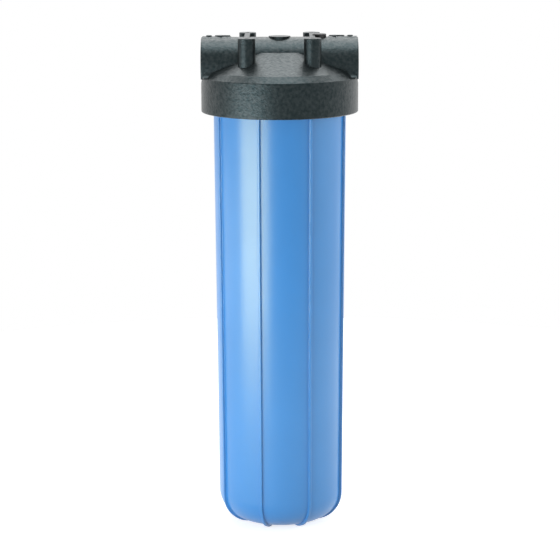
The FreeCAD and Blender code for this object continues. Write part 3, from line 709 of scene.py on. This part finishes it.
class FILTER_OT_flow_marks(bpy.types.Operator):
    """Raise a pad, an arrow and a dot on the tube at each port, pointing with the flow"""

    bl_idname = "filter_housing.flow_marks"
    bl_label = "Flow Marks"

    def arrow(self, name, tail, tip, width, low, high):
        """A flat arrow along X, from tail to tip, with bevelled top edges."""
        forward = 1 if tip > tail else -1
        length = abs(tip - tail)
        head, shaft = length * 0.45, width * 0.38
        reach, point = head * 0.98, 0.08
        bpy.ops.mesh.primitive_plane_add(
            size=1, location=(tail + forward * (length - head) / 2, 0, low))
        bpy.context.object.scale = (length - head, shaft, 1)
        piece = settle(name)
        edit(piece)
        shoulder = tip - forward * head
        choose(piece, lambda v: abs(v.co.x - shoulder) < near)
        bpy.ops.mesh.extrude_region_move(TRANSFORM_OT_translate={"value": (0, 0, 0)})
        bpy.ops.transform.resize(
            value=(1, width / shaft, 1), center_override=(shoulder, 0, low))
        bpy.ops.mesh.extrude_region_move(
            TRANSFORM_OT_translate={"value": (forward * reach, 0, 0)})
        bpy.ops.transform.resize(
            value=(1, point, 1), center_override=(tip, 0, low))
        bpy.ops.mesh.select_all(action="SELECT")
        bpy.ops.mesh.remove_doubles(threshold=near)
        bpy.ops.mesh.dissolve_limited(angle_limit=0.01)
        self.thicken(piece, low, high)
        return piece

    def dot(self, name, x, radius, low, high):
        """A round mark with a rounded top edge."""
        bpy.ops.mesh.primitive_circle_add(
            vertices=40, radius=radius, fill_type="NGON", location=(x, 0, low))
        piece = settle(name)
        self.thicken(piece, low, high)
        return piece

    def thicken(self, piece, low, high):
        """Raise the flat outline to its height, and round the edges of its top."""
        rounding = (high - low) * 0.3
        edit(piece, "FACE")
        bpy.ops.mesh.select_all(action="SELECT")
        bpy.ops.mesh.extrude_region_move(
            TRANSFORM_OT_translate={"value": (0, 0, high - low)})
        bpy.ops.mesh.select_mode(type="EDGE")
        choose(
            piece,
            lambda e: all(abs(piece.data.vertices[i].co.z - high) < near for i in e.vertices),
            "edges")
        bpy.ops.mesh.bevel(offset=rounding, segments=3, profile=0.5)
        finish_mesh(piece)

    def pad(self, name, inner, outer):
        """A swelling of the tube's top, of rounder section, that runs out into it."""
        mark = settings().mark
        half = mark.pad_width / 2
        # The radius at which a round section of the pad's height meets the tube at its edges
        bend = 1 / (2 * mark.pad_height / half ** 2 + 1 / tube_radius)
        centre = tube_top + mark.pad_height - bend
        cut = tube_top - 3 * mark.pad_height
        above_cut = cut + 0.1 * mark.pad_height
        rounding = mark.pad_height * 0.6
        bpy.ops.mesh.primitive_cylinder_add(
            vertices=180, radius=bend, depth=abs(outer - inner),
            location=((inner + outer) / 2, 0, centre), rotation=(0, math.pi / 2, 0))
        piece = settle(name)
        edit(piece)
        bpy.ops.mesh.select_all(action="SELECT")
        bpy.ops.mesh.bisect(
            plane_co=(0, 0, cut), plane_no=(0, 0, -1),
            use_fill=True, clear_outer=True)
        ends = min(inner, outer), max(inner, outer)
        bpy.ops.mesh.select_mode(type="EDGE")
        choose(
            piece,
            lambda e: any(
                all(abs(piece.data.vertices[i].co.x - end) < near for i in e.vertices)
                for end in ends
            ) and any(piece.data.vertices[i].co.z > above_cut for i in e.vertices),
            "edges")
        bpy.ops.mesh.bevel(offset=rounding, segments=3, profile=0.5)
        finish_mesh(piece)
        return piece

    def execute(self, context):
        mark = settings().mark
        low = tube_top - mark_sink
        high = tube_top + mark.pad_height + mark.height
        outer = mark.inner + mark.length
        dot_place = outer + mark.gap + mark.dot / 2
        pad_outer = port_faces[1] - pad_margin
        marks = (
            self.pad("inlet_pad", mark.pad_inner, pad_outer),
            self.pad("outlet_pad", -mark.pad_inner, -pad_outer),
            self.arrow("inlet_arrow", outer, mark.inner, mark.width, low, high),
            self.arrow("outlet_arrow", -mark.inner, -outer, mark.width, low, high),
            self.dot("inlet_dot", dot_place, mark.dot / 2, low, high),
            self.dot("outlet_dot", -dot_place, mark.dot / 2, low, high),
        )
        for piece in marks:
            carry(piece, "cap", cap_plastic())
        return {"FINISHED"}


class FILTER_OT_relief(bpy.types.Operator):
    """Finish the pressure-relief button and the pieces under it, and wind its spring"""

    bl_idname = "filter_housing.relief"
    bl_label = "Pressure Relief"

    def spring(self):
        """A coil of round wire."""
        low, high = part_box("relief_spring")
        wire_radius = settings().spring.wire / 2
        turns = settings().spring.turns
        axis = (low + high) / 2
        coil_radius = (high.x - low.x) / 2 - wire_radius
        sides, steps_per_turn = 16, 40
        bpy.ops.mesh.primitive_circle_add(
            vertices=sides, radius=wire_radius, location=(coil_radius, 0, low.z + wire_radius),
            rotation=(math.pi / 2, 0, 0))
        piece = settle("relief_spring_coil")
        screw = piece.modifiers.new("Screw", "SCREW")
        screw.axis = "Z"
        screw.angle = math.tau * turns
        screw.screw_offset = high.z - low.z - 2 * wire_radius
        screw.steps = screw.render_steps = steps_per_turn * turns
        bpy.ops.object.modifier_apply(modifier=screw.name)
        edit(piece)
        bpy.ops.mesh.select_all(action="SELECT")
        bpy.ops.mesh.fill_holes(sides=sides)
        bpy.ops.object.mode_set(mode="OBJECT")
        piece.location = (axis.x, axis.y, 0)
        settle("relief_spring_coil")
        finish_mesh(piece)
        carry(piece, "cap", spring_steel())
        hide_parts("relief_spring")
        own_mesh(piece)

    def execute(self, context):
        dress({
            "relief_button": button_plastic(),
            "relief_o_ring": seal_rubber(),
            "relief_washer": washer_plastic(),
            "relief_retaining_ring": spring_steel(),
        })
        self.spring()
        return {"FINISHED"}


class FILTER_OT_cartridge(bpy.types.Operator):
    """Finish the cartridge and the seals"""

    bl_idname = "filter_housing.cartridge"
    bl_label = "Cartridge and Seals"

    def execute(self, context):
        dress({
            "cartridge_pleats": filter_medium(),
            "cartridge_core": core_plastic(),
            "cartridge_bottom_cap": end_cap_plastic(),
            "cartridge_top_cap": end_cap_plastic(),
            "cartridge_bottom_gasket": gasket_rubber(),
            "cartridge_top_gasket": gasket_rubber(),
            "sump_o_ring": seal_rubber(),
        })
        return {"FINISHED"}


# ---------------------------------------------------------------- studio

def background_rays(nodes, links):
    """Mask of the camera, glossy and transmission rays, which all see the white background."""
    rays = nodes.new("ShaderNodeLightPath")
    seen = rays.outputs["Is Camera Ray"]
    for kind in ("Is Glossy Ray", "Is Transmission Ray"):
        either = nodes.new("ShaderNodeMath")
        either.operation = "MAXIMUM"
        links.new(seen, either.inputs[0])
        links.new(rays.outputs[kind], either.inputs[1])
        seen = either.outputs[0]
    return seen


class FILTER_OT_studio(bpy.types.Operator):
    """Set up the floor, the lights, the world and the camera"""

    bl_idname = "filter_housing.studio"
    bl_label = "Studio"

    def floor(self):
        """A pale matte floor that looks white but keeps the object's shadow."""
        shadow_reach, white_from, shadow_glow = 0.12, 0.7, 0.75
        bpy.ops.mesh.primitive_circle_add(
            vertices=96, radius=settings().studio.floor_radius, fill_type="NGON",
            location=(0, 0, -floor_drop))
        piece = settle("studio_floor")
        material, nodes, links, shader = new_material("Studio Floor")
        shader.inputs["Base Color"].default_value = (0.60, 0.60, 0.60, 1)
        shader.inputs["Roughness"].default_value = 0.9
        shader.inputs["Specular IOR Level"].default_value = 0.0
        shader.inputs["Emission Color"].default_value = (1, 1, 1, 1)
        place = nodes.new("ShaderNodeTexCoord")
        away = nodes.new("ShaderNodeVectorMath")
        away.operation = "LENGTH"
        links.new(place.outputs["Object"], away.inputs[0])
        whiteness = map_range(
            material.node_tree, away.outputs["Value"], shadow_reach, white_from, shadow_glow, 1.0)
        glow = nodes.new("ShaderNodeMath")
        glow.operation = "MULTIPLY"
        links.new(background_rays(nodes, links), glow.inputs[0])
        links.new(whiteness, glow.inputs[1])
        links.new(glow.outputs[0], shader.inputs["Emission Strength"])
        piece.data.materials.append(material)

    def world(self):
        """Even light on the object, and a white background that its gloss mirrors."""
        world = bpy.data.worlds.new("Studio World")
        bpy.context.scene.world = world
        world.use_nodes = True
        nodes, links = world.node_tree.nodes, world.node_tree.links
        fill = nodes["Background"]
        fill.inputs["Color"].default_value = (1, 1, 1, 1)
        fill.inputs["Strength"].default_value = settings().studio.fill
        white = nodes.new("ShaderNodeBackground")
        white.inputs["Color"].default_value = (1, 1, 1, 1)
        white.inputs["Strength"].default_value = 1.0
        either = nodes.new("ShaderNodeMixShader")
        links.new(background_rays(nodes, links), either.inputs[0])
        links.new(fill.outputs[0], either.inputs[1])
        links.new(white.outputs[0], either.inputs[2])
        links.new(either.outputs[0], nodes["World Output"].inputs["Surface"])

    def soft_box(self, name, place, aim, width, height, radiance):
        """A rectangular lamp of the given radiance, aimed at a point."""
        bpy.ops.object.light_add(type="AREA", location=place)
        lamp = bpy.context.object
        lamp.name = lamp.data.name = name
        lamp.data.shape = "RECTANGLE"
        lamp.data.size, lamp.data.size_y = width, height
        lamp.data.energy = radiance * math.pi * width * height
        lamp.rotation_euler = (Vector(aim) - Vector(place)).to_track_quat("-Z", "Y").to_euler()

    def camera(self):
        """A long lens in front of the housing, looking slightly down."""
        studio = settings().studio
        bpy.ops.object.camera_add(
            location=(0, -studio.distance, studio.height),
            rotation=(math.pi / 2 - studio.pitch, 0, 0))
        camera = bpy.context.object
        camera.name = camera.data.name = "studio_camera"
        camera.rotation_euler.rotate_axis("Z", -studio.roll)
        camera.data.lens = studio.lens
        camera.data.sensor_width = 36
        camera.data.shift_x = studio.shift
        bpy.context.scene.camera = camera

    def execute(self, context):
        start_clean()
        self.floor()
        self.world()
        self.soft_box("overhead_box", (0, 0.02, 1.75), (0, 0.02, 0.5), 0.9, 0.95, 4.2)
        self.soft_box("back_panel", (0, 1.15, 1.80), (0, 0, 0.55), 3.4, 1.3, 2.0)
        self.soft_box("left_box", (-0.71, -0.70, 0.21), (0, 0, 0.21), 0.90, 0.42, 7.4)
        self.soft_box("left_panel", (-1.09, 0.13, 0.14), (0, 0, 0.14), 0.80, 0.26, 1.5)
        self.soft_box("left_edge", (-0.65, 0.89, 0.135), (0, 0, 0.135), 0.45, 0.25, 0.4)
        self.soft_box("right_edge", (0.78, 0.78, 0.135), (0, 0, 0.135), 0.55, 0.25, 0.3)
        self.soft_box("right_card", (1.05, 0.33, 0.52), (0, 0, 0.52), 1.3, 1.0, 0.22)
        self.soft_box("right_fill", (1.3, -0.1, 0.50), (0, 0, 0.45), 1.8, 1.0, 2.4)
        # The fill lights the right side without showing in its gloss.
        bpy.context.object.visible_glossy = False
        self.camera()
        context.scene.view_settings.view_transform = "Standard"
        return {"FINISHED"}


class FILTER_PT_housing(bpy.types.Panel):
    """The housing's pieces and studio, with their settings"""

    bl_label = "Filter Housing"
    bl_space_type = "VIEW_3D"
    bl_region_type = "UI"
    bl_category = "Filter Housing"

    def draw(self, context):
        layout = self.layout
        for step in steps:
            layout.operator(step.bl_idname)
        for label in ("thread", "mark", "spring", "finish", "studio"):
            group = getattr(settings(), label)
            box = layout.box()
            for name in group.bl_rna.properties.keys():
                if name not in ("rna_type", "name"):
                    box.prop(group, name)


steps = (
    FILTER_OT_sump,
    FILTER_OT_cap,
    FILTER_OT_port_threads,
    FILTER_OT_flow_marks,
    FILTER_OT_relief,
    FILTER_OT_cartridge,
    FILTER_OT_studio,
)
classes = (
    ThreadSettings, MarkSettings, SpringSettings, FinishSettings, StudioSettings,
    HousingSettings,
    *steps, FILTER_PT_housing,
)


def register():
    """Add the settings, the operators and the panel."""
    for cls in classes:
        bpy.utils.register_class(cls)
    bpy.types.Scene.filter_housing = PointerProperty(type=HousingSettings)


def unregister():
    """Take them away again."""
    del bpy.types.Scene.filter_housing
    for cls in reversed(classes):
        bpy.utils.unregister_class(cls)


def main():
    """Make every piece and the studio."""
    register()
    start_clean()
    bpy.ops.filter_housing.sump()
    bpy.ops.filter_housing.cap()
    bpy.ops.filter_housing.port_threads()
    bpy.ops.filter_housing.flow_marks()
    bpy.ops.filter_housing.relief()
    bpy.ops.filter_housing.cartridge()
    bpy.ops.filter_housing.studio()
    start_clean()


if __name__ == "__main__":
    main()
